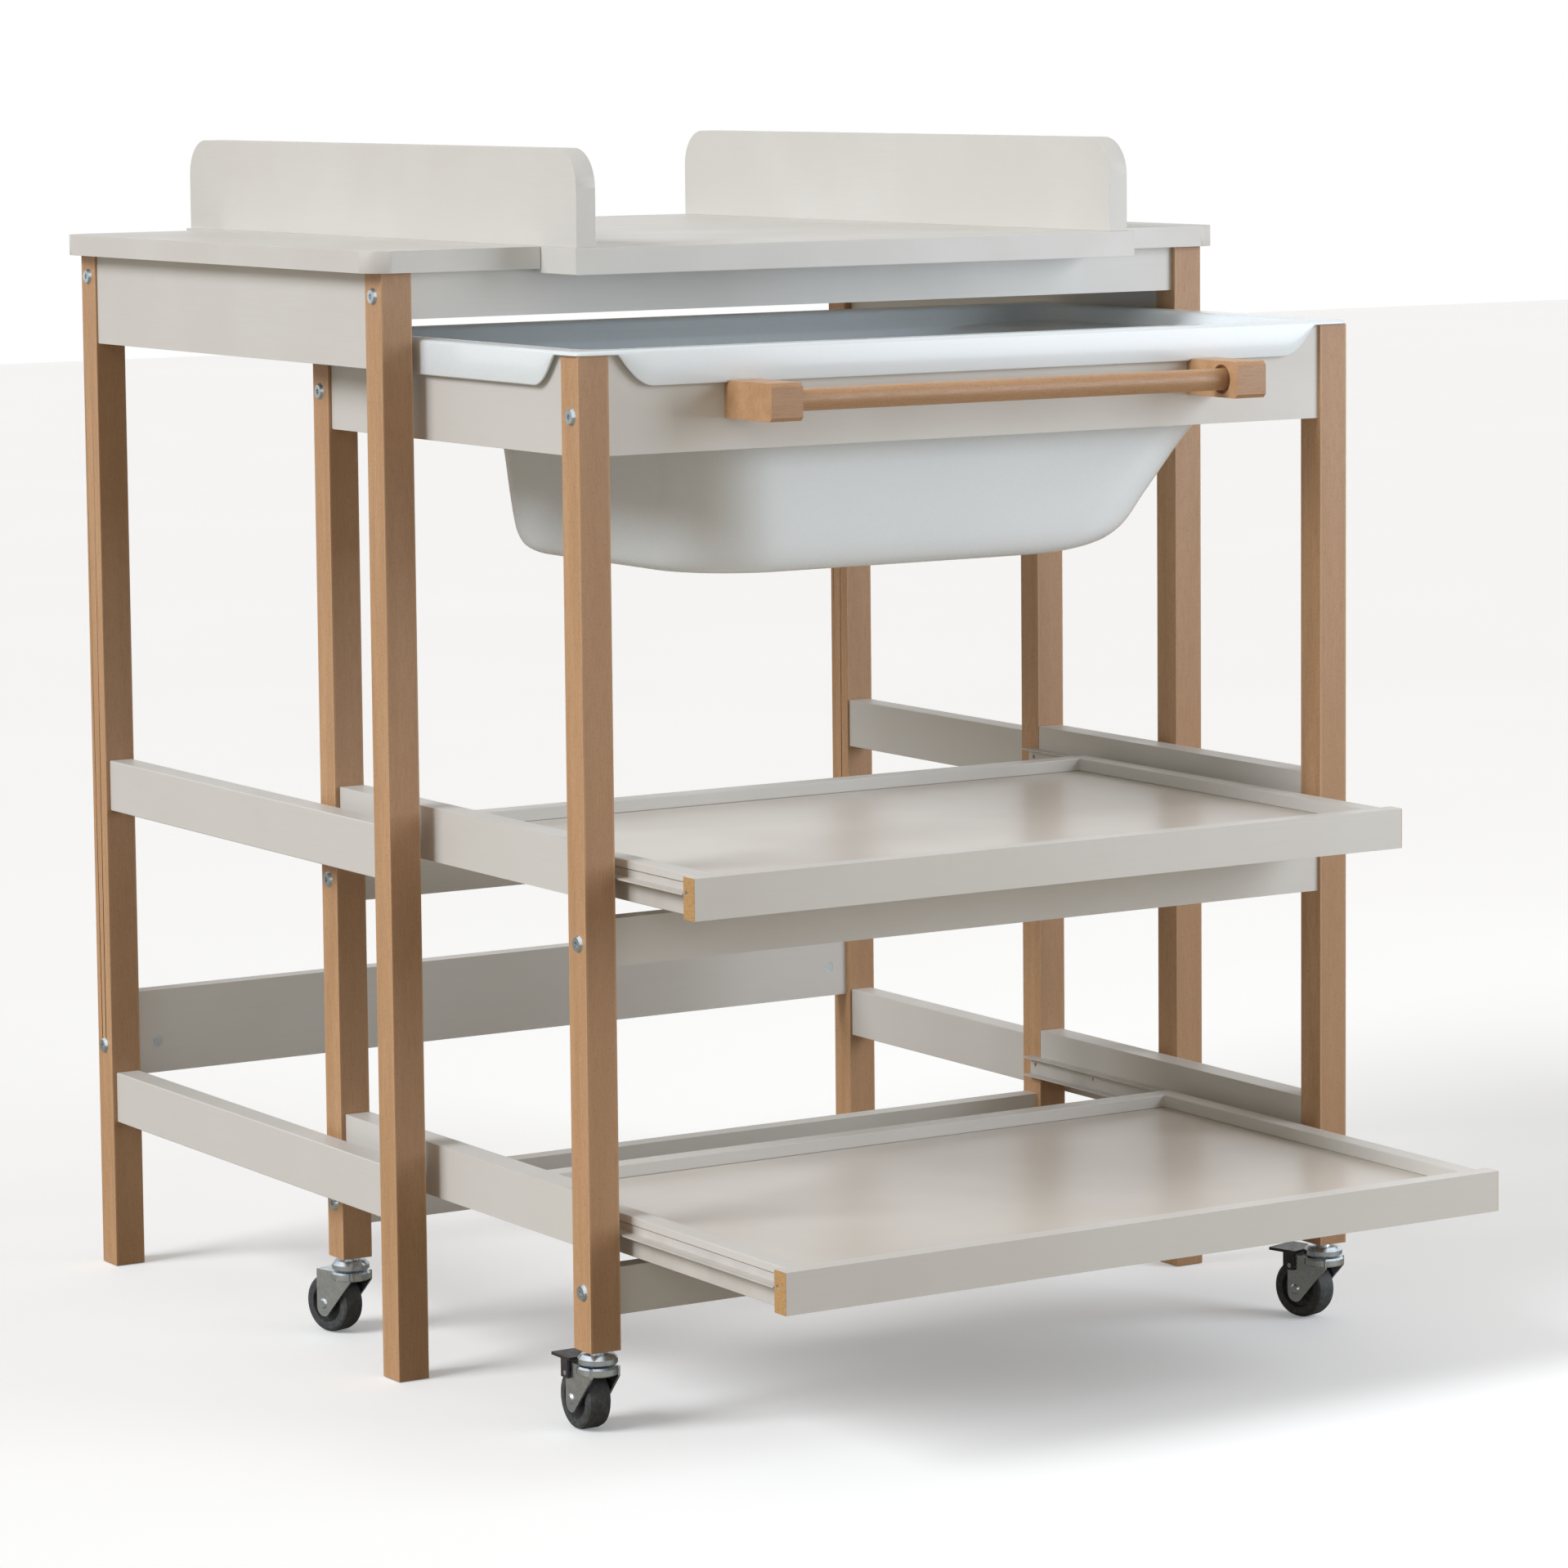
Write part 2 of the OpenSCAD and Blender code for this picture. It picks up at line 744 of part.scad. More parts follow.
// Basin outlines from the rim down: [fraction of depth, left, front and back, right, corner radius]
basin_left = basin_x0 + ledge_left;
basin_right = basin_x1 - ledge_right;
basin_rows = [
    [0.045, basin_x0, 0, basin_x1, basin_corner + 2],
    [0.075, basin_x0 + 3, 3, basin_x1 - 3, basin_corner + 6],
    [0.095, basin_left - 8, 5, basin_right + 10, 44],
    [0.115, basin_left + 4, 6, basin_right + 2, 54],
    [0.16, basin_left + 16, 8, basin_right - 1, 60],
    [0.35, basin_left + 19, 12, basin_right - 5, 65],
    [0.56, basin_left + 22, 16, basin_right - 33, 69],
    [0.75, basin_left + 24, 20, basin_right - 60, 71],
    [0.88, basin_left + 26, 24, basin_right - 78, 72],
    [0.95, basin_left + 29, 32, basin_right - 96, 72],
    [0.985, basin_left + 38, 45, basin_right - 120, 69],
    [1.0, basin_left + 60, 66, basin_right - 152, 60]
];

function basin_ring(row, skin) = ring(
    [row[1] + skin, basin_y0 + row[2] + skin, row[3] - skin, basin_y1 - row[2] - skin],
    row[4] - skin,
    rim_under - row[0] * tub_depth + skin
);

// Rings in order from under the basin's floor, round the rim, and back to its floor inside
under_rings = [for (i = [len(basin_rows) - 1 : -1 : 0]) basin_ring(basin_rows[i], 0)];
inside_rings = [for (row = basin_rows) basin_ring(row, tub_t)];
rim_rings = [
    ring(grow([basin_x0, basin_y0, basin_x1, basin_y1], 0), basin_corner, rim_under),
    ring(grow(rim_box, -skirt_wall - 1), rim_corner - skirt_wall - 1, rim_under),
    hem(ring(grow(rim_box, -skirt_wall), rim_corner - skirt_wall, 0), rim_under - 0.3, skirt_z),
    hem(ring(grow(rim_box, -0.6), rim_corner - 0.6, 0), rim_under - 0.7, skirt_z - hem_drop),
    hem(ring(rim_box, rim_corner, 0), rim_under - 0.3, skirt_z + 0.4),
    ring(rim_box, rim_corner, rim_under + 0.2),
    ring(grow(rim_box, -0.8), rim_corner - 0.8, rim_top - 1.4),
    ring(grow(rim_box, -2.6), rim_corner - 2.6, rim_top - 0.4),
    ring(grow(rim_box, -5), rim_corner - 5, rim_top),
    ring(grow([basin_x0, basin_y0, basin_x1, basin_y1], 3), basin_corner - 3, rim_top),
    ring(grow([basin_x0, basin_y0, basin_x1, basin_y1], 0), basin_corner, rim_top - 1)
];
tub_rings = concat(under_rings, rim_rings, inside_rings);
row_n = len(tub_rings);

module tub() {
    middle = [(basin_left + basin_right - 100) / 2, (basin_y0 + basin_y1) / 2];
    rim_points = [for (r = tub_rings) for (p = r) p];
    centres = [[middle[0], middle[1], tub_floor], [middle[0], middle[1], tub_floor + tub_t]];
    last = (row_n - 1) * ring_n;
    under = row_n * ring_n;
    walls = [
        for (j = [0 : row_n - 2], i = [0 : ring_n - 1])
            let (a = j * ring_n + i, b = j * ring_n + (i + 1) % ring_n)
                each [[a, a + ring_n, b], [b, a + ring_n, b + ring_n]]
    ];
    caps = [
        for (i = [0 : ring_n - 1])
            let (next = (i + 1) % ring_n)
                each [[under, i, next], [under + 1, last + next, last + i]]
    ];
    color(plastic)
        polyhedron(concat(rim_points, centres), concat(walls, caps), convexity = 8);
}

// -------------------------------------------------------------- casters

// Put a caster's own parts under a trolley leg, turned about its stem
module at_caster(side, end, turn) {
    x = side < 0 ? cart_left + cart_leg / 2 : cart_right - cart_leg / 2;
    y = end < 0 ? cart_front + cart_leg / 2 : cart_back - cart_leg / 2;
    translate([x, y, 0])
        rotate([0, 0, turn])
            children();
}

// Stem, neck and upper ball race, fixed to the leg
module caster_stem() {
    neck_z = caster_h - neck_h;
    race_h = neck_z - race_bottom;
    r = race_d / 2;
    union() {
        translate([0, 0, neck_z])
            cylinder(h = neck_h + stem_l, d = stem_d);
        translate([0, 0, neck_z])
            cylinder(h = neck_h, d = neck_d);
        translate([0, 0, race_bottom])
            rotate_extrude()
                polygon([
                    [0, 0], [r - 1.5, 0], [r, 1.5], [r, race_h * 0.6],
                    [r - 3, race_h], [0, race_h]
                ]);
    }
}

module caster_stems() {
    color(zinc)
        for (side = [-1, 1], end = [-1, 1])
            at_caster(side, end, 0)
                caster_stem();
}

// A fork cheek in side view: straight down behind the axle, slanting in front of it
module cheek() {
    foot_r = 8;
    foot_z = wheel_d / 2 - 3;
    union() {
        translate([trail, foot_z])
            circle(r = foot_r);
        polygon([
            [trail + foot_r, foot_z],
            [trail + foot_r, fork_top],
            [-12, fork_top],
            [-12, fork_top - 8],
            [trail - foot_r * 0.86, foot_z - foot_r * 0.51]
        ]);
    }
}

// Swivel head: a flat disc with a turned-down edge, open over the wheel
module fork_head() {
    r = head_d / 2;
    difference() {
        translate([0, 0, fork_top - 7])
            rotate_extrude()
                polygon([
                    [0, 7 - fork_plate_t], [r - 2.5, 7 - fork_plate_t], [r - 2.5, 0], [r - 0.8, 0],
                    [r, 1], [r, 5.5], [r - 1.5, 7], [0, 7]
                ]);
        block([-fork_gap, -3, 0], [fork_gap, head_d, fork_top - fork_plate_t]);
    }
}

// Fork: swivel head, top plate, two cheeks and the riveted axle; a braked one has two pins
module caster_fork(braked) {
    outer = fork_gap + fork_wall;
    axle_z = wheel_d / 2;
    color(zinc)
        union() {
            fork_head();
            block([-outer, 0, fork_top - fork_plate_t], [outer, trail + 8, fork_top]);
            for (x = [-outer, fork_gap])
                translate([x, 0, 0])
                    rotate([90, 0, 90])
                        linear_extrude(fork_wall)
                            cheek();
            translate([-outer - 1.6, trail, axle_z])
                rotate([0, 90, 0])
                    cylinder(h = 1.6, r1 = rivet_r - 1.5, r2 = rivet_r);
            translate([outer, trail, axle_z])
                rotate([0, 90, 0])
                    cylinder(h = 1.6, r1 = rivet_r, r2 = rivet_r - 1.5);
            translate([-outer, trail, axle_z])
                rotate([0, 90, 0])
                    cylinder(h = 2 * outer, r = axle_r);
            if (braked)
                for (x = [-outer - ear_gap - ear_t - 0.5, outer])
                    translate([x, pedal_pin_y, pedal_pin_z])
                        rotate([0, 90, 0])
                            cylinder(h = ear_gap + ear_t + 0.5, r = pedal_pin_r, $fn = 32);
        }
}

// Wheel: rubber tread, sides dished for the fork's cheeks, bored for the axle
module caster_wheel() {
    r = wheel_d / 2;
    half = wheel_w / 2;
    dish_r = r - 8.5;
    hub_half = half - 4;
    color(rubber)
        translate([0, trail, r])
            rotate([0, 90, 0])
                rotate_extrude($fn = 96)
                    polygon([
                        [axle_r + run_gap, -half], [axle_r + 4, -half], [axle_r + 4.5, -hub_half],
                        [dish_r - 1, -hub_half], [dish_r, -half], [r - 3, -half],
                        [r - 1, -half + 1], [r, -half + 4], [r, half - 4], [r - 1, half - 1],
                        [r - 3, half], [dish_r, half], [dish_r - 1, hub_half],
                        [axle_r + 4.5, hub_half], [axle_r + 4, half], [axle_r + run_gap, half]
                    ]);
}

// Brake pedal: a flat tread over the fork's tail, on two ears beside the cheeks
module brake_pedal() {
    ear_x = fork_gap + fork_wall + ear_gap;
    tread_z = fork_top + 1.5;
    tread_t = 2.5;
    tread_y = race_d / 2 + 2;
    color(dark)
        difference() {
            union() {
                block([-pedal_half_w, tread_y, tread_z], [pedal_half_w, trail + 26,
                    tread_z + tread_t]);
                for (x = [-ear_x - ear_t, ear_x])
                    block([x, pedal_pin_y - 4, pedal_pin_z - 4],
                        [x + ear_t, pedal_pin_y + 7, tread_z + tread_t]);
            }
            translate([0, pedal_pin_y, pedal_pin_z])
                rotate([0, 90, 0])
                    cylinder(h = 4 * ear_x, r = pedal_pin_r + run_gap, center = true, $fn = 32);
        }
}

table_leg(-1, -1);  // table_leg_fl
table_leg(1, -1);  // table_leg_fr
table_leg(-1, 1);  // table_leg_bl
table_leg(1, 1);  // table_leg_br
side_board(-1, side_apron_inset, apron_t, frame_h - apron_h, apron_h);  // table_apron_left
side_board(1, side_apron_inset, apron_t, frame_h - apron_h, apron_h);  // table_apron_right
table_apron_front();
table_apron_back();
side_board(-1, inset, rail_t, mid_rail_z, rail_h);  // table_mid_rail_left
side_board(1, inset, rail_t, mid_rail_z, rail_h);  // table_mid_rail_right
side_board(-1, inset, rail_t, low_rail_z, rail_h);  // table_low_rail_left
side_board(1, inset, rail_t, low_rail_z, rail_h);  // table_low_rail_right
table_back_rail();
table_bolts();
top_shelf(-1);  // top_left
top_shelf(1);  // top_right
changing_board();
guard(-1);  // guard_left
guard(1);  // guard_right
cart_leg_post(-1, -1);  // cart_leg_fl
cart_leg_post(1, -1);  // cart_leg_fr
cart_leg_post(-1, 1);  // cart_leg_bl
cart_leg_post(1, 1);  // cart_leg_br
cart_side_board(-1, cart_apron_inset, apron_t, cart_h - apron_h, apron_h);  // cart_apron_left
cart_side_board(1, cart_apron_inset, apron_t, cart_h - apron_h, apron_h);  // cart_apron_right
cart_cross(-1, apron_t, cart_h - apron_h, apron_h, cart_apron_bolt_z);  // cart_apron_front
cart_cross(1, apron_t, cart_h - apron_h, apron_h, cart_apron_bolt_z);  // cart_apron_back
cart_side_board(-1, inset, cart_rail_t, cart_upper_rail_z, cart_rail_h);  // cart_upper_rail_left
cart_side_board(1, inset, cart_rail_t, cart_upper_rail_z, cart_rail_h);  // cart_upper_rail_right
cart_side_board(-1, inset, cart_rail_t, cart_lower_rail_z, cart_rail_h);  // cart_lower_rail_left
cart_side_board(1, inset, cart_rail_t, cart_lower_rail_z, cart_rail_h);  // cart_lower_rail_right
cart_cross(-1, cross_t, cross_upper_z, cross_h, cross_upper_z + cross_h / 2);  // cart_upper_cross_front
cart_cross(1, cross_t, cross_upper_z, cross_h, cross_upper_z + cross_h / 2);  // cart_upper_cross_back
cart_cross(-1, cross_t, cross_lower_z, cross_h, cross_lower_z + cross_h / 2);  // cart_lower_cross_front
cart_cross(1, cross_t, cross_lower_z, cross_h, cross_lower_z + cross_h / 2);  // cart_lower_cross_back
bar_blocks();
towel_bar();
cart_bolts();
fixed_runners(tray_upper_z);  // runners_upper
fixed_runners(tray_lower_z);  // runners_lower
caster_stems();
tub();
tray_front(tray_upper_z, tray_upper_out);  // tray_upper_front
tray_frame(tray_upper_z, tray_upper_out);  // tray_upper_frame
tray_floor(tray_upper_z, tray_upper_out);  // tray_upper_floor
tray_runners(tray_upper_z, tray_upper_out);  // tray_upper_runners
tray_front(tray_lower_z, tray_lower_out);  // tray_lower_front
tray_frame(tray_lower_z, tray_lower_out);  // tray_lower_frame
tray_floor(tray_lower_z, tray_lower_out);  // tray_lower_floor
tray_runners(tray_lower_z, tray_lower_out);  // tray_lower_runners
at_caster(-1, -1, turn_fl) caster_fork(true);  // caster_fork_fl
at_caster(1, -1, turn_fr) caster_fork(true);  // caster_fork_fr
at_caster(-1, 1, turn_bl) caster_fork(false);  // caster_fork_bl
at_caster(1, 1, turn_br) caster_fork(false);  // caster_fork_br
at_caster(-1, -1, turn_fl) caster_wheel();  // caster_wheel_fl
at_caster(1, -1, turn_fr) caster_wheel();  // caster_wheel_fr
at_caster(-1, 1, turn_bl) caster_wheel();  // caster_wheel_bl
at_caster(1, 1, turn_br) caster_wheel();  // caster_wheel_br
at_caster(-1, -1, turn_fl) brake_pedal();  // brake_pedal_fl
at_caster(1, -1, turn_fr) brake_pedal();  // brake_pedal_fr
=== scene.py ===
"""Looks for a changing table with a rolling bath trolley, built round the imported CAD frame."""

import math

import bmesh
import bpy
from mathutils import Matrix, Vector


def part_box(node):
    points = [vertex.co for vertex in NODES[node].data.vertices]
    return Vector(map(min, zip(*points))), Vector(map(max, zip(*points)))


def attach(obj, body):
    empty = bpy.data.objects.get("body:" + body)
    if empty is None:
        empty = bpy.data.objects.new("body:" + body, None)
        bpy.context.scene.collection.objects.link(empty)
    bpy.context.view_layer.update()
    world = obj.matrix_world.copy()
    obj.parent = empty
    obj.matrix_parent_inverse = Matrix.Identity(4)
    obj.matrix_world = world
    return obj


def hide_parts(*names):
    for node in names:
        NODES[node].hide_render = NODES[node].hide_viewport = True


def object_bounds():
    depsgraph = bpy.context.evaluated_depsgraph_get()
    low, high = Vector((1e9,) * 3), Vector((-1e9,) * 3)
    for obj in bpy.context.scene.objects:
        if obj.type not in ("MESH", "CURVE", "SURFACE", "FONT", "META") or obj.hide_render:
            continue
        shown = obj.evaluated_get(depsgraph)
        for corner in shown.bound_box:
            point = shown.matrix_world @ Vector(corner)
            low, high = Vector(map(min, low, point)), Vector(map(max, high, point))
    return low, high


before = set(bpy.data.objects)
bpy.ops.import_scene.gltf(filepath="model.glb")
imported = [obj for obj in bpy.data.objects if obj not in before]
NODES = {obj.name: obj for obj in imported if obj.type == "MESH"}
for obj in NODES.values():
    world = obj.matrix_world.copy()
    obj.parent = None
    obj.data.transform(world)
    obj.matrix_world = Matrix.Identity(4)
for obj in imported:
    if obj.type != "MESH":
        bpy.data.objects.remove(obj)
cad_low, cad_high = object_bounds()
X, Y, Z = 0, 1, 2

# ------------------------------------------------------------------ materials


class Graph:
    """One Principled material and the nodes that feed it."""

    def __init__(self, name, metallic=0.0, coat=0.0, coat_roughness=0.1, subsurface=0.0):
        self.material = bpy.data.materials.new(name)
        self.material.use_nodes = True
        self.tree = self.material.node_tree
        self.shader = self.tree.nodes["Principled BSDF"]
        self.shader.inputs["Metallic"].default_value = metallic
        self.shader.inputs["Coat Weight"].default_value = coat
        self.shader.inputs["Coat Roughness"].default_value = coat_roughness
        self.shader.inputs["Subsurface Weight"].default_value = subsurface
        self.shader.inputs["Subsurface Scale"].default_value = 0.01

    def add(self, kind, **settings):
        node = self.tree.nodes.new(kind)
        for key, value in settings.items():
            setattr(node, key, value)
        return node

    def feed(self, socket, value):
        if isinstance(value, bpy.types.NodeSocket):
            self.tree.links.new(value, socket)
        else:
            socket.default_value = value

    def math(self, operation, a, b=0.0):
        node = self.add("ShaderNodeMath", operation=operation)
        self.feed(node.inputs[0], a)
        self.feed(node.inputs[1], b)
        return node.outputs[0]

    def where(self):
        """The point in the object's own frame, which stays on the surface as its body moves."""
        return self.add("ShaderNodeTexCoord").outputs["Object"]

    def stretched(self, stretch, offset=(0.0, 0.0, 0.0)):
        mapping = self.add("ShaderNodeMapping")
        mapping.inputs["Scale"].default_value = stretch
        mapping.inputs["Location"].default_value = offset
        self.feed(mapping.inputs["Vector"], self.where())
        return mapping.outputs["Vector"]

    def noise(self, vector, scale, detail=3.0, roughness=0.5):
        node = self.add("ShaderNodeTexNoise")
        node.inputs["Scale"].default_value = scale
        node.inputs["Detail"].default_value = detail
        node.inputs["Roughness"].default_value = roughness
        self.feed(node.inputs["Vector"], vector)
        return node.outputs["Fac"]

    def spread(self, value, low, high, to_low=0.0, to_high=1.0):
        node = self.add("ShaderNodeMapRange")
        for socket, number in zip(node.inputs[1:5], (low, high, to_low, to_high)):
            socket.default_value = number
        self.feed(node.inputs["Value"], value)
        return node.outputs["Result"]

    def mix(self, factor, a, b):
        """Colour a blended into b; the Mix node's colour sockets are its 7th and 8th."""
        node = self.add("ShaderNodeMix", data_type="RGBA")
        self.feed(node.inputs[0], factor)
        for socket, value in ((node.inputs[6], a), (node.inputs[7], b)):
            plain = not isinstance(value, bpy.types.NodeSocket)
            self.feed(socket, (*value, 1.0) if plain else value)
        return node.outputs[2]

    def finish(self, colour, roughness, height=None, depth=0.0001, strength=0.5):
        """Join up colour, roughness and, as a bump of that depth in metres, a height."""
        self.feed(self.shader.inputs["Base Color"], colour)
        self.feed(self.shader.inputs["Roughness"], roughness)
        if height is not None:
            bump = self.add("ShaderNodeBump")
            bump.inputs["Distance"].default_value = depth
            bump.inputs["Strength"].default_value = strength
            self.feed(bump.inputs["Height"], height)
            self.feed(self.shader.inputs["Normal"], bump.outputs["Normal"])
        return self.material


BEECH_LIGHT = (0.61, 0.365, 0.195)
BEECH_MID = (0.52, 0.295, 0.148)
BEECH_DARK = (0.24, 0.115, 0.052)
BEECH_WORN = (0.66, 0.43, 0.25)
# Painted shade: the darker beech mixed onto the faces to the front and back
BEECH_FRONT_SHADE = (0.36, 0.205, 0.105)
RAW_BIRCH = (0.58, 0.345, 0.14)
PAINT = (0.70, 0.69, 0.665)
PAINT_SHADE = (0.655, 0.635, 0.60)
MELAMINE = (0.69, 0.655, 0.60)
MELAMINE_SHADE = (0.64, 0.595, 0.54)
TUB_WHITE = (0.86, 0.92, 0.97)
TUB_SHADE = (0.83, 0.895, 0.945)
ZINC = (0.66, 0.73, 0.78)
ZINC_SHADE = (0.50, 0.57, 0.63)
RUBBER = (0.036, 0.042, 0.046)
RUBBER_WORN = (0.10, 0.098, 0.10)
RUNNER = (0.66, 0.64, 0.61)
RUNNER_SHADE = (0.60, 0.58, 0.55)
PEDAL = (0.028, 0.022, 0.026)
PEDAL_WORN = (0.06, 0.05, 0.055)

# Height of the paint's stipple; distances from a raw end where paint stops and bare wood starts
PAINT_DEPTH = 0.00006
PAINT_EDGE = 0.0006
RAW_EDGE = 0.0004


def edge_wear(graph, low, high, along):
    """1 on the long edges of a square bar, falling to 0 within a millimetre or two."""
    split = graph.add("ShaderNodeSeparateXYZ")
    graph.feed(split.inputs[0], graph.where())
    depths = []
    for axis in (X, Y, Z):
        if axis == along:
            continue
        middle = (low[axis] + high[axis]) / 2
        half = (high[axis] - low[axis]) / 2
        off = graph.math("ABSOLUTE", graph.math("SUBTRACT", split.outputs[axis], middle))
        depths.append(graph.math("SUBTRACT", half, off))
    return graph.spread(graph.math("MAXIMUM", *depths), 0.0004, 0.0022, 1.0, 0.0)


def beech(name, low, high, along, seed):
    """Lacquered steamed beech: long soft bands, fine fibres and short dark flecks.

    The faces to the front and back carry painted shade: they are mixed a tone darker to stand in for
    the dimmer light that falls on them.
    """
    g = Graph(name, coat=0.12, coat_roughness=0.35)
    long_way = [1.0, 1.0, 1.0]
    long_way[along] = 0.06
    fleck_way = [1.0, 1.0, 1.0]
    fleck_way[along] = 0.22
    offset = (0.37 * seed, 0.61 * seed, 0.83 * seed)
    bands = g.noise(g.stretched(long_way, offset), 70.0, 4.0, 0.55)
    fibres = g.noise(g.stretched(long_way, offset), 1100.0, 3.0, 0.6)
    flecks = g.spread(g.noise(g.stretched(fleck_way, offset), 2000.0, 1.0, 0.4), 0.60, 0.70)
    normal = g.add("ShaderNodeSeparateXYZ")
    g.feed(normal.inputs[0], g.add("ShaderNodeTexCoord").outputs["Normal"])
    # Painted shade: faces that point to the front or back are mixed up to 62 % toward a darker beech
    front_face_shade = g.spread(g.math("ABSOLUTE", normal.outputs[Y]), 0.3, 0.9, 0.0, 0.62)
    colour = g.mix(g.spread(bands, 0.34, 0.66), BEECH_LIGHT, BEECH_MID)
    colour = g.mix(front_face_shade, colour, BEECH_FRONT_SHADE)
    colour = g.mix(g.spread(fibres, 0.45, 0.75, 0.0, 0.30), colour, BEECH_DARK)
    colour = g.mix(g.math("MULTIPLY", flecks, 0.55), colour, BEECH_DARK)
    wear = g.math("MULTIPLY", edge_wear(g, low, high, along), g.spread(bands, 0.4, 0.6, 0.1, 0.5))
    colour = g.mix(wear, colour, BEECH_WORN)
    rough = g.spread(fibres, 0.3, 0.7, 0.40, 0.58)
    return g.finish(colour, rough, fibres, 0.00012, 0.45)


def paint_coat(g, along):
    """Colour, soft clouds and height of a roller stipple over grain that shows faintly through."""
    grain_way = [1.0, 1.0, 1.0]
    grain_way[along] = 0.05
    clouds = g.noise(g.where(), 9.0, 3.0, 0.5)
    grain = g.noise(g.stretched(grain_way), 420.0, 3.0, 0.6)
    stipple = g.noise(g.where(), 1500.0, 2.0, 0.6)
    colour = g.mix(g.spread(clouds, 0.35, 0.65, 0.0, 0.55), PAINT, PAINT_SHADE)
    colour = g.mix(g.spread(grain, 0.45, 0.8, 0.0, 0.35), colour, PAINT_SHADE)
    height = g.math("ADD", g.math("MULTIPLY", grain, 0.5), g.math("MULTIPLY", stipple, 0.5))
    return colour, clouds, height


def satin_paint(name, along):
    """Warm grey-white satin paint on the boards, rails and aprons."""
    g = Graph(name)
    colour, clouds, height = paint_coat(g, along)
    return g.finish(colour, g.spread(clouds, 0.3, 0.7, 0.38, 0.48), height, PAINT_DEPTH, 0.35)


def melamine(name):
    """Tray floors: smooth melamine with a soft sheen and faint warm clouds."""
    g = Graph(name, coat=0.2, coat_roughness=0.25)
    clouds = g.noise(g.where(), 5.0, 3.0, 0.5)
    pores = g.noise(g.where(), 1300.0, 2.0, 0.6)
    colour = g.mix(g.spread(clouds, 0.35, 0.65), MELAMINE, MELAMINE_SHADE)
    colour = g.mix(g.spread(pores, 0.55, 0.8, 0.0, 0.15), colour, MELAMINE_SHADE)
    return g.finish(colour, g.spread(clouds, 0.3, 0.7, 0.30, 0.40), pores, 0.00003, 0.25)


def tray_front_paint(name, low, high):
    """Painted front board whose two ends are left as raw birch."""
    g = Graph(name)
    split = g.add("ShaderNodeSeparateXYZ")
    g.feed(split.inputs[0], g.where())
    middle = (low[X] + high[X]) / 2
    half = (high[X] - low[X]) / 2
    off = g.math("ABSOLUTE", g.math("SUBTRACT", split.outputs[X], middle))
    raw = g.spread(off, half - PAINT_EDGE, half - RAW_EDGE)
    paint, clouds, height = paint_coat(g, X)
    rings = g.noise(g.stretched((1.0, 0.35, 1.0)), 900.0, 3.0, 0.6)
    birch = g.mix(g.spread(rings, 0.4, 0.7, 0.0, 0.45), RAW_BIRCH, BEECH_DARK)
    colour = g.mix(raw, paint, birch)
    rough = g.math("ADD", g.spread(clouds, 0.3, 0.7, 0.38, 0.46), g.math("MULTIPLY", raw, 0.25))
    return g.finish(colour, rough, height, PAINT_DEPTH, 0.35)


def tub_plastic(name):
    """Glossy moulded plastic with a very slight orange peel."""
    g = Graph(name, coat=0.25, coat_roughness=0.08, subsurface=0.06)
    clouds = g.noise(g.where(), 6.0, 2.0, 0.5)
    peel = g.noise(g.where(), 160.0, 2.0, 0.5)
    grit = g.noise(g.where(), 1400.0, 2.0, 0.6)
    colour = g.mix(g.spread(clouds, 0.35, 0.65), TUB_WHITE, TUB_SHADE)
    height = g.math("ADD", g.math("MULTIPLY", peel, 0.8), g.math("MULTIPLY", grit, 0.2))
    return g.finish(colour, g.spread(grit, 0.3, 0.7, 0.20, 0.30), height, 0.00012, 0.25)


def zinc(name):
    """Bright zinc plate with bluish clouds and fine brushing."""
    g = Graph(name, metallic=1.0)
    clouds = g.noise(g.where(), 140.0, 3.0, 0.6)
    brushing = g.noise(g.stretched((1.0, 1.0, 0.1)), 2600.0, 2.0, 0.6)
    colour = g.mix(g.spread(clouds, 0.38, 0.62), ZINC, ZINC_SHADE)
    return g.finish(colour, g.spread(clouds, 0.3, 0.7, 0.18, 0.32), brushing, 0.00003, 0.3)


def rubber(name):
    """Grey wheel rubber, scuffed paler in patches."""
    g = Graph(name)
    scuffs = g.noise(g.where(), 260.0, 4.0, 0.65)
    grit = g.noise(g.where(), 2200.0, 2.0, 0.6)
    colour = g.mix(g.spread(scuffs, 0.45, 0.72), RUBBER, RUBBER_WORN)
    return g.finish(colour, g.spread(scuffs, 0.3, 0.7, 0.55, 0.75), grit, 0.00012, 0.5)


def dark_plastic(name):
    """Dark glass-filled plastic with a fine spark-eroded grain."""
    g = Graph(name)
    grain = g.noise(g.where(), 1800.0, 3.0, 0.6)
    scuffs = g.noise(g.where(), 180.0, 3.0, 0.6)
    colour = g.mix(g.spread(scuffs, 0.5, 0.8), PEDAL, PEDAL_WORN)
    return g.finish(colour, g.spread(scuffs, 0.3, 0.7, 0.35, 0.5), grain, 0.00008, 0.5)


def runner_enamel(name):
    """White powder coat with its fine pebble."""
    g = Graph(name)
    pebble = g.noise(g.where(), 900.0, 2.0, 0.5)
    clouds = g.noise(g.where(), 30.0, 2.0, 0.5)
    colour = g.mix(g.spread(clouds, 0.35, 0.65), RUNNER, RUNNER_SHADE)
    return g.finish(colour, g.spread(pebble, 0.3, 0.7, 0.32, 0.46), pebble, 0.00008, 0.35)


# ------------------------------------------------------------------ CAD nodes


def longest_axis(name):
    low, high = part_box(name)
    lengths = [high[axis] - low[axis] for axis in (X, Y, Z)]
    return lengths.index(max(lengths))


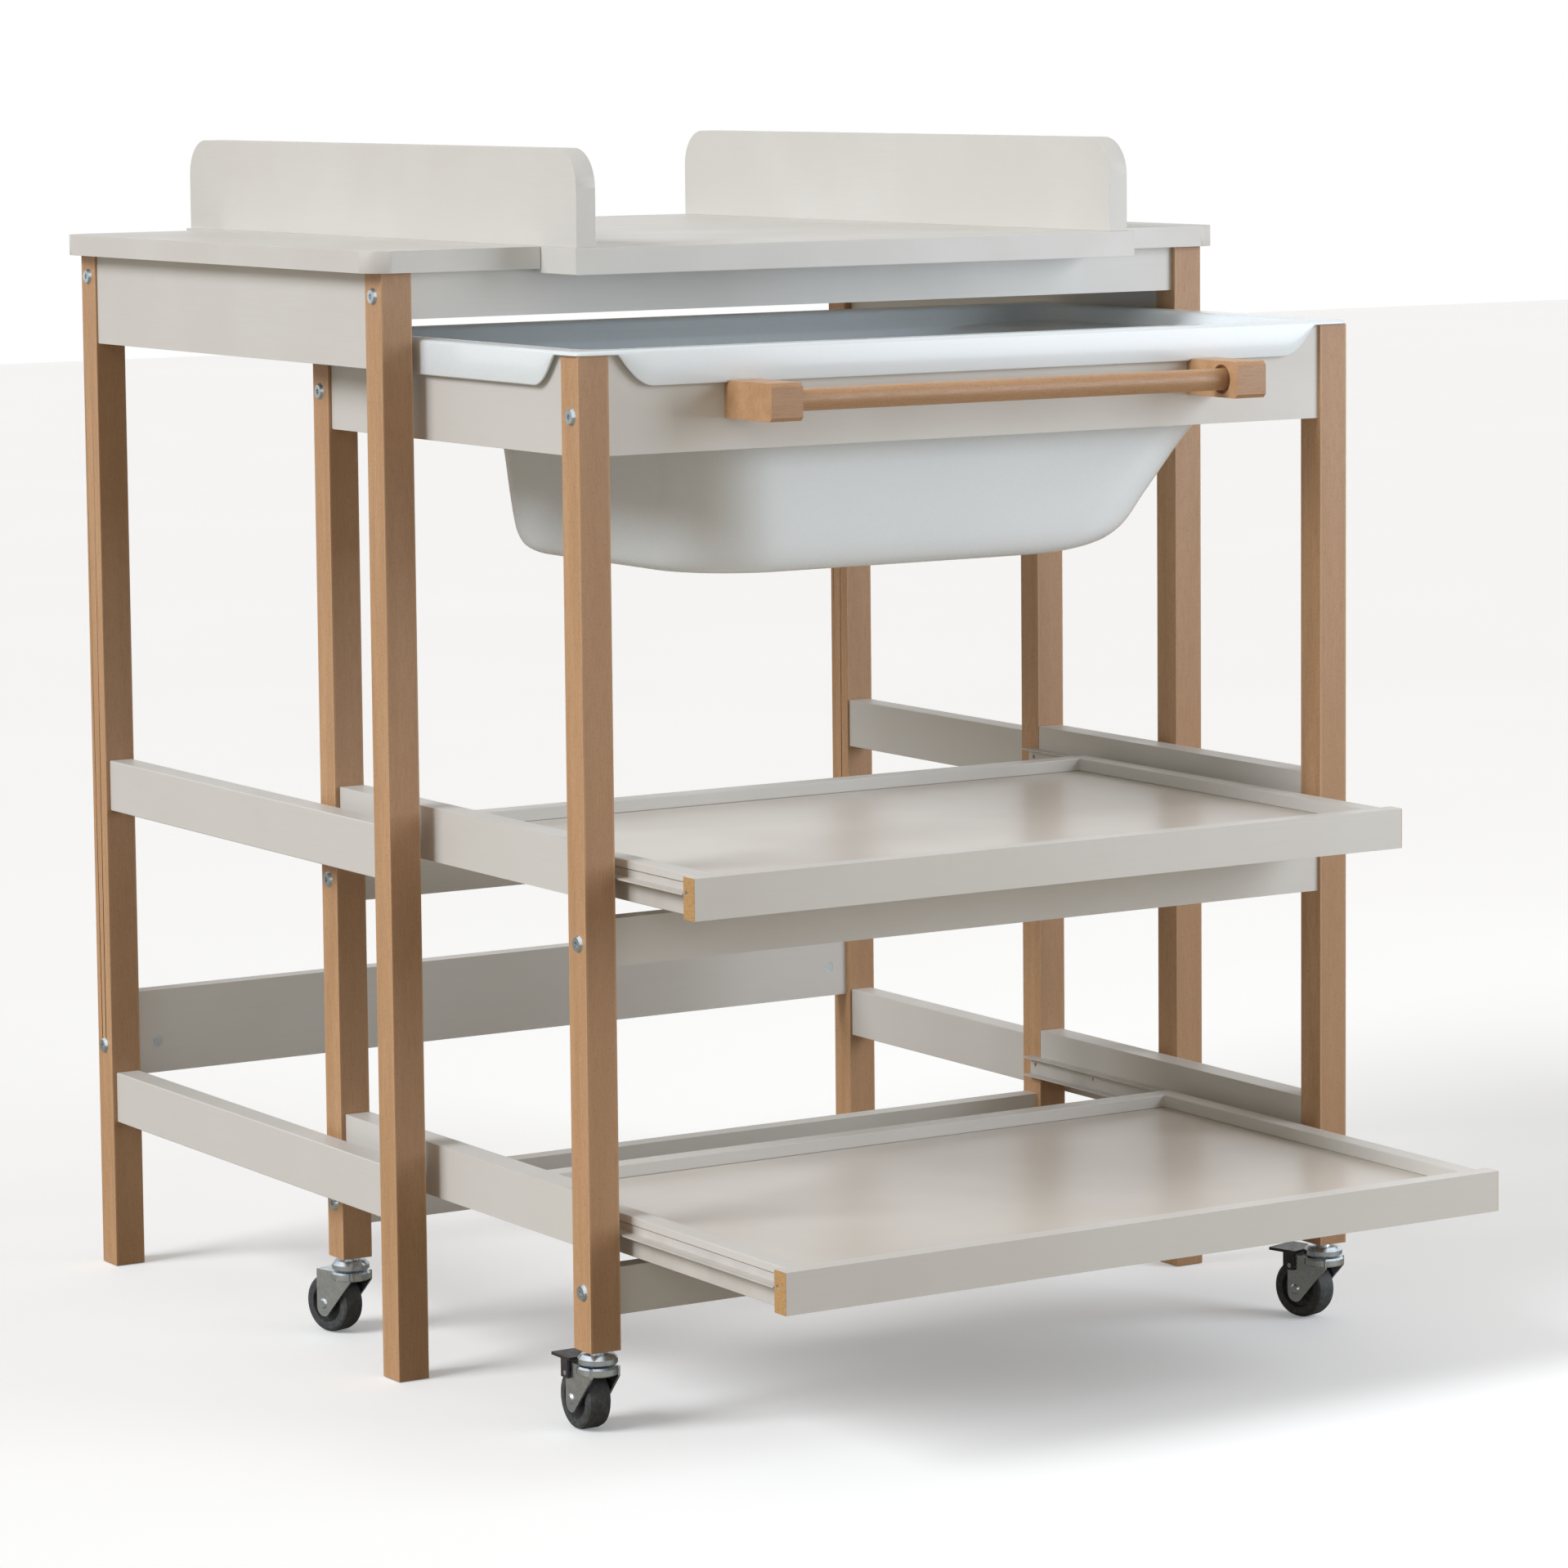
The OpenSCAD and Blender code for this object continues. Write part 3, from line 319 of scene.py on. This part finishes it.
def soften(obj, width, angle=35.0, segments=3):
    """Weld a CAD node's shared edges and round its sharp ones by this width."""
    weld = obj.modifiers.new("weld", "WELD")
    weld.merge_threshold = 0.00001
    bevel = obj.modifiers.new("bevel", "BEVEL")
    bevel.width = width
    bevel.segments = segments
    bevel.limit_method = "ANGLE"
    bevel.angle_limit = math.radians(angle)
    bevel.harden_normals = True
    bevel.use_clamp_overlap = True


def dress(name, material, width):
    """Give a CAD node its material and, where a width is given, softened edges."""
    obj = NODES[name]
    if not obj.material_slots:
        obj.data.materials.append(material)
    for slot in obj.material_slots:
        slot.material = material
    if width:
        soften(obj, width)


BEECH_PARTS = [name for name in NODES if "_leg_" in name] + ["bar_blocks", "towel_bar"]
ZINC_PARTS = ["table_bolts", "cart_bolts", "caster_stems"]
ZINC_PARTS += [name for name in NODES if name.startswith("caster_fork")]
RUNNER_PARTS = [name for name in NODES if "runners" in name]
RUBBER_PARTS = [name for name in NODES if name.startswith("caster_wheel")]
PEDAL_PARTS = [name for name in NODES if name.startswith("brake_pedal")]
TRAY_FRONTS = ["tray_upper_front", "tray_lower_front"]
TRAY_FLOORS = ["tray_upper_floor", "tray_lower_floor"]
# Parts, their material and the width of their softened edges
SHARED = [
    (ZINC_PARTS, zinc("zinc_plate"), 0.0),
    (RUNNER_PARTS, runner_enamel("runner_enamel"), 0.0),
    (RUBBER_PARTS, rubber("wheel_rubber"), 0.0),
    (PEDAL_PARTS, dark_plastic("pedal_plastic"), 0.0005),
    (TRAY_FLOORS, melamine("tray_melamine"), 0.0),
]
WOOD_EDGE = 0.0008
BOARD_EDGE = 0.001
PAINTS = {axis: satin_paint(f"paint_{'xyz'[axis]}", axis) for axis in (X, Y)}


def dress_all():
    """Every node but the tub, which is rebuilt further down."""
    done = {"tub"}
    for seed, name in enumerate(BEECH_PARTS):
        along = longest_axis(name)
        low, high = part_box(name)
        width = 0.0 if name == "towel_bar" else WOOD_EDGE
        dress(name, beech(f"beech_{name}", low, high, along, seed + 1), width)
        done.add(name)
    for parts, material, width in SHARED:
        for name in parts:
            dress(name, material, width)
            done.add(name)
    for name in TRAY_FRONTS:
        dress(name, tray_front_paint(f"paint_{name}", *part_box(name)), WOOD_EDGE)
        done.add(name)
    for name in sorted(set(NODES) - done):
        dress(name, PAINTS[longest_axis(name)], BOARD_EDGE)


# ------------------------------------------------------------------------ tub

MM = 0.001
TUB_WALL = 0.003
RIM_CORNER = 0.010
INNER_CORNER = 0.022
SKIRT_WALL = 0.002
APRON_ROOM = 0.0015
LEDGE_LEFT = 0.088
LEDGE_RIGHT = 0.062
NOTCH_RUN = 0.032
NOTCH_LEAD = 0.010
NOTCH_LEAN = 0.62
SKIRT_DROP = 0.028
SLOPE_FOOT = 0.1
ARC_STEPS = 12
NOTCH_STEPS = 14
EDGE_STEPS = 14
ROWS_BETWEEN = 5
# Depth that turns a row's share into a length for spacing the curve, and its least step
ROW_DEPTH = 0.18
ROW_STEP = 0.002

# Basin outline from the rim down: share of its depth, how far in from the inner edge of the
# rim (left, front and back, right), and corner radius. The ledges' widths start the walls.
BASIN_ROWS = [
    (0.045, 0.000, 0.000, 0.000, 0.024),
    (0.075, 0.003, 0.003, 0.003, 0.028),
    (0.095, LEDGE_LEFT - 0.008, 0.005, LEDGE_RIGHT - 0.010, 0.044),
    (0.115, LEDGE_LEFT + 0.004, 0.006, LEDGE_RIGHT - 0.002, 0.054),
    (0.160, LEDGE_LEFT + 0.016, 0.008, LEDGE_RIGHT + 0.001, 0.060),
    (0.350, LEDGE_LEFT + 0.019, 0.012, LEDGE_RIGHT + 0.005, 0.065),
    (0.560, LEDGE_LEFT + 0.022, 0.016, LEDGE_RIGHT + 0.033, 0.069),
    (0.750, LEDGE_LEFT + 0.024, 0.020, LEDGE_RIGHT + 0.060, 0.071),
    (0.880, LEDGE_LEFT + 0.026, 0.024, LEDGE_RIGHT + 0.078, 0.072),
    (0.950, LEDGE_LEFT + 0.029, 0.032, LEDGE_RIGHT + 0.096, 0.072),
    (0.985, LEDGE_LEFT + 0.038, 0.045, LEDGE_RIGHT + 0.120, 0.069),
    (1.000, LEDGE_LEFT + 0.060, 0.066, LEDGE_RIGHT + 0.152, 0.060),
]


# Rounding of the skirt's hem from inside to outside, in mm: in from the rim's outer face, then
# up or down from the rim's underside at a leg and from the hem between legs
HEM_ROUNDING = [
    (2.0, -0.3, 0.0),
    (1.4, -0.65, -0.5),
    (0.6, -0.7, -0.6),
    (0.15, -0.5, -0.1),
    (0.0, -0.3, 0.4),
]
# Rounding of the rim's outer top edge, in mm: in from its outer face, down from its top
RIM_ROUNDING = [(0.2, 2.1), (0.8, 1.3), (1.6, 0.7), (2.8, 0.25), (5.0, 0.0)]
# Rounding of its inner top edge, in mm: out from the basin, corner radius, down from its top
LIP_ROUNDING = [(4.0, 18.0, 0.0), (1.5, 20.5, 0.4), (-0.5, 22.0, 1.6), (-1.8, 22.0, 4.0)]


def ease(t):
    t = min(max(t, 0.0), 1.0)
    return t * t * (3 - 2 * t)


def skirt_drop(t):
    """Share of the skirt's height reached: falls steeply beside a leg, then runs out softly."""
    return ease(max(t, 0.0) ** NOTCH_LEAN)


def slopes(xs, ys):
    """Slopes for a smooth curve through the points that never overshoots them."""
    steps = [(ys[i + 1] - ys[i]) / (xs[i + 1] - xs[i]) for i in range(len(xs) - 1)]
    inner = [0.0 if a * b <= 0 else 2 * a * b / (a + b) for a, b in zip(steps, steps[1:])]
    return [steps[0]] + inner + [steps[-1]]


def smooth_rows(rows, between):
    """More rows between the given ones, on a smooth curve through them."""
    marks = [0.0]
    for a, b in zip(rows, rows[1:]):
        run = math.hypot((b[0] - a[0]) * ROW_DEPTH, b[1] - a[1])
        marks.append(marks[-1] + run + ROW_STEP)
    columns = list(zip(*rows))
    tangents = [slopes(marks, column) for column in columns]
    made = []
    for i in range(len(rows) - 1):
        span = marks[i + 1] - marks[i]
        for k in range(between):
            t = k / between
            h00 = (1 + 2 * t) * (1 - t) ** 2
            h10 = t * (1 - t) ** 2
            h01 = ease(t)
            h11 = t * t * (t - 1)
            made.append(tuple(
                h00 * c[i] + h10 * span * m[i] + h01 * c[i + 1] + h11 * span * m[i + 1]
                for c, m in zip(columns, tangents)
            ))
    made.append(rows[-1])
    return made


def edge_marks(length, notch_start):
    """Distances along a straight edge of the rim, close together where the skirt is cut away."""
    near = [notch_start + NOTCH_RUN * i / NOTCH_STEPS for i in range(NOTCH_STEPS + 1)]
    first = near[-1]
    last = length - first
    inner = [first + (last - first) * i / EDGE_STEPS for i in range(1, EDGE_STEPS)]
    return near + inner + [length - mark for mark in reversed(near)]


class TubRings:
    """Rounded rectangles with the same number of points, and the skirt's depth at each."""

    def __init__(self, low, high, leg):
        self.size = (high[X] - low[X] - 2 * RIM_CORNER, high[Y] - low[Y] - 2 * RIM_CORNER)
        start = leg - RIM_CORNER + NOTCH_LEAD
        marks = [edge_marks(length, start) for length in self.size]
        self.fractions = [[m / length for m in row] for row, length in zip(marks, self.size)]
        self.skirt = []
        for row, length in ((marks[0], self.size[0]), (marks[1], self.size[1])) * 2:
            self.skirt += [0.0] * (ARC_STEPS + 1)
            self.skirt += [skirt_drop((min(m, length - m) - start) / NOTCH_RUN) for m in row]

    def ring(self, box, radius, z):
        x0, y0, x1, y1 = box
        corners = [(x0 + radius, y0 + radius, 180), (x1 - radius, y0 + radius, 270),
                   (x1 - radius, y1 - radius, 0), (x0 + radius, y1 - radius, 90)]
        ends = [((x0 + radius, y0), (x1 - radius, y0)), ((x1, y0 + radius), (x1, y1 - radius)),
                ((x1 - radius, y1), (x0 + radius, y1)), ((x0, y1 - radius), (x0, y0 + radius))]
        points = []
        for i, (cx, cy, start) in enumerate(corners):
            for k in range(ARC_STEPS + 1):
                a = math.radians(start + 90 * k / ARC_STEPS)
                points.append((cx + radius * math.cos(a), cy + radius * math.sin(a), z))
            (ax, ay), (bx, by) = ends[i]
            for f in self.fractions[i % 2]:
                points.append((ax + f * (bx - ax), ay + f * (by - ay), z))
        return points

    def hem(self, box, radius, high, low):
        points = self.ring(box, radius, 0.0)
        return [(x, y, high + (low - high) * s) for (x, y, _), s in zip(points, self.skirt)]


def grown(box, d):
    """The plan box (x0, y0, x1, y1) moved out by d on every side."""
    return (box[0] - d, box[1] - d, box[2] + d, box[3] + d)


def tub_rows():
    """Rings of the whole shell, from the underside of its floor round the rim to the inside."""
    low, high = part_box("tub")
    leg_low, leg_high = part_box("cart_leg_fl")
    leg = leg_high[X] - leg_low[X]
    rings = TubRings(low, high, leg)
    outer = (low[X], low[Y], high[X], high[Y])
    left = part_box("cart_apron_left")[1][X] + APRON_ROOM
    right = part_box("cart_apron_right")[0][X] - APRON_ROOM
    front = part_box("cart_apron_front")[1][Y] + APRON_ROOM
    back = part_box("cart_apron_back")[0][Y] - APRON_ROOM
    inner = (left, front, right, back)
    under = high[Z] - TUB_WALL
    depth = under - low[Z]
    hem_z = high[Z] - SKIRT_DROP

    def basin(row, skin):
        share, from_left, from_front, from_right, radius = row
        box = (left + from_left + skin, front + from_front + skin,
               right - from_right - skin, back - from_front - skin)
        return rings.ring(box, radius - skin, under - share * depth + skin)

    rows = smooth_rows(BASIN_ROWS, ROWS_BETWEEN)
    made = [basin(row, 0.0) for row in reversed(rows)]
    edge = SKIRT_WALL + MM
    made.append(rings.ring(inner, INNER_CORNER, under))
    made.append(rings.ring(grown(outer, -edge), RIM_CORNER - edge, under))
    for step, up, down in HEM_ROUNDING:
        box = grown(outer, -step * MM)
        made.append(rings.hem(box, RIM_CORNER - step * MM, under + up * MM, hem_z + down * MM))
    made.append(rings.ring(outer, RIM_CORNER, under + 0.2 * MM))
    for step, down in RIM_ROUNDING:
        made.append(rings.ring(grown(outer, -step * MM), RIM_CORNER - step * MM, high[Z] - down * MM))
    for step, radius, down in LIP_ROUNDING:
        made.append(rings.ring(grown(inner, step * MM), radius * MM, high[Z] - down * MM))
    made += [basin(row, TUB_WALL) for row in rows]
    return made, low[Z], inner


def build_tub():
    """The bath tub as one smooth closed shell: basin, ledges, rim and skirt."""
    rows, floor_z, inner = tub_rows()
    mesh = bpy.data.meshes.new("bath_tub")
    work = bmesh.new()
    verts = [[work.verts.new(point) for point in row] for row in rows]
    count = len(rows[0])
    for below, above in zip(verts, verts[1:]):
        for i in range(count):
            n = (i + 1) % count
            work.faces.new((below[i], above[i], above[n], below[n]))
    left, front, right, back = inner
    floor_left = left + LEDGE_LEFT
    floor_right = right - LEDGE_RIGHT - SLOPE_FOOT
    middle = ((floor_left + floor_right) / 2, (front + back) / 2)
    for row, z, turn in ((verts[0], floor_z, 1), (verts[-1], floor_z + TUB_WALL, -1)):
        centre = work.verts.new((middle[0], middle[1], z))
        for i in range(count):
            n = (i + 1) % count
            work.faces.new((centre, row[i], row[n])[::turn])
    bmesh.ops.recalc_face_normals(work, faces=work.faces)
    work.to_mesh(mesh)
    work.free()
    for polygon in mesh.polygons:
        polygon.use_smooth = True
    tub = bpy.data.objects.new("bath_tub", mesh)
    bpy.context.scene.collection.objects.link(tub)
    mesh.materials.append(tub_plastic("tub_plastic"))
    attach(tub, "tub")
    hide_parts("tub")


# ---------------------------------------------------------------------- stage

FLOOR_HALF = 14.0
FLOOR_GAP = 0.0005
FLOOR_GLOW = 0.20
FLOOR_GLOW_COLOUR = (0.94, 1.0, 1.08, 1.0)
FLOOR_PALE = (0.97, 0.97, 0.97)
FLOOR_PALE_SHADE = (0.95, 0.95, 0.95)
FLOOR_CAST = (0.38, 0.335, 0.27)
ROOM_SEEN = (1.0, 1.0, 1.0)
ROOM_CAST = (0.33, 0.30, 0.255)
SUN_COLOUR = (0.98, 1.0, 1.03)
FILL_COLOUR = (0.92, 0.98, 1.07)


def pale_floor():
    """A floor that is seen nearly white but casts dimmer, warmer light back up."""
    mesh = bpy.data.meshes.new("floor")
    corners = [(-1, -1), (1, -1), (1, 1), (-1, 1)]
    z = cad_low[Z] - FLOOR_GAP
    mesh.from_pydata([(x * FLOOR_HALF, y * FLOOR_HALF, z) for x, y in corners], [], [(0, 1, 2, 3)])
    floor = bpy.data.objects.new("floor", mesh)
    bpy.context.scene.collection.objects.link(floor)
    g = Graph("floor_paper")
    clouds = g.noise(g.where(), 1.5, 2.0, 0.5)
    seen = g.add("ShaderNodeLightPath").outputs["Is Camera Ray"]
    pale = g.mix(clouds, FLOOR_PALE, FLOOR_PALE_SHADE)
    colour = g.mix(seen, FLOOR_CAST, pale)
    g.feed(g.shader.inputs["Emission Color"], FLOOR_GLOW_COLOUR)
    g.feed(g.shader.inputs["Emission Strength"], g.math("MULTIPLY", seen, FLOOR_GLOW))
    mesh.materials.append(g.finish(colour, g.spread(clouds, 0.3, 0.7, 0.75, 0.85)))


def soft_sun(name, towards, strength, spread, colour):
    """Even light over the whole floor; towards points from the object to the light."""
    data = bpy.data.lights.new(name, "SUN")
    data.energy = strength
    data.angle = math.radians(spread)
    data.color = colour
    lamp = bpy.data.objects.new(name, data)
    lamp.rotation_euler = (-Vector(towards)).to_track_quat("-Z", "Y").to_euler()
    bpy.context.scene.collection.objects.link(lamp)


def soft_box(name, position, aim, size, power, colour):
    """A square softbox that faces the aim."""
    data = bpy.data.lights.new(name, "AREA")
    data.shape = "SQUARE"
    data.size = size
    data.energy = power
    data.color = colour
    lamp = bpy.data.objects.new(name, data)
    lamp.location = position
    direction = Vector(aim) - Vector(position)
    lamp.rotation_euler = direction.to_track_quat("-Z", "Y").to_euler()
    bpy.context.scene.collection.objects.link(lamp)


def white_room():
    """A surround that is seen, and mirrored, as plain white but casts dimmer, warmer light."""
    world = bpy.data.worlds.new("white_room")
    world.use_nodes = True
    tree = world.node_tree
    background = tree.nodes["Background"]
    paths = tree.nodes.new("ShaderNodeLightPath")
    level = tree.nodes.new("ShaderNodeMix")
    level.data_type = "RGBA"
    tree.links.new(paths.outputs["Is Diffuse Ray"], level.inputs[0])
    level.inputs[6].default_value = (*ROOM_SEEN, 1.0)
    level.inputs[7].default_value = (*ROOM_CAST, 1.0)
    tree.links.new(level.outputs[2], background.inputs["Color"])
    bpy.context.scene.world = world


# Viewing angle: turned from looking along +Y, looking down, and tilted, in degrees
CAMERA_TURN = 31.805
CAMERA_DOWN = 5.895
CAMERA_TILT = -0.5575
CAMERA_AT = (-2.5481, -4.1418, 1.0924)
CAMERA_LENS = 130.85
CAMERA_SHIFT = -0.10
CAMERA_SENSOR = 36.0


def set_camera():
    turn, down, tilt = (math.radians(a) for a in (CAMERA_TURN, CAMERA_DOWN, CAMERA_TILT))
    reach = math.cos(down)
    ahead = Vector((math.sin(turn) * reach, math.cos(turn) * reach, -math.sin(down)))
    level = Vector((math.cos(turn), -math.sin(turn), 0.0))
    rise = level.cross(ahead)
    right = math.cos(tilt) * level + math.sin(tilt) * rise
    up = -math.sin(tilt) * level + math.cos(tilt) * rise
    data = bpy.data.cameras.new("camera")
    data.sensor_width = CAMERA_SENSOR
    data.lens = CAMERA_LENS
    data.shift_y = CAMERA_SHIFT
    data.clip_end = 100.0
    camera = bpy.data.objects.new("camera", data)
    turned = Matrix((right, up, -ahead)).transposed()
    camera.matrix_world = Matrix.Translation(CAMERA_AT) @ turned.to_4x4()
    bpy.context.scene.collection.objects.link(camera)
    bpy.context.scene.camera = camera


dress_all()
build_tub()
pale_floor()
soft_sun("key", (-0.82, 0.0, 0.57), 2.15, 30.0, SUN_COLOUR)
soft_box("front_fill", (1.8, -2.1, 1.3), (0.1, -0.3, 0.7), 1.6, 39.0, FILL_COLOUR)
white_room()
set_camera()
bpy.context.scene.view_settings.view_transform = "Standard"
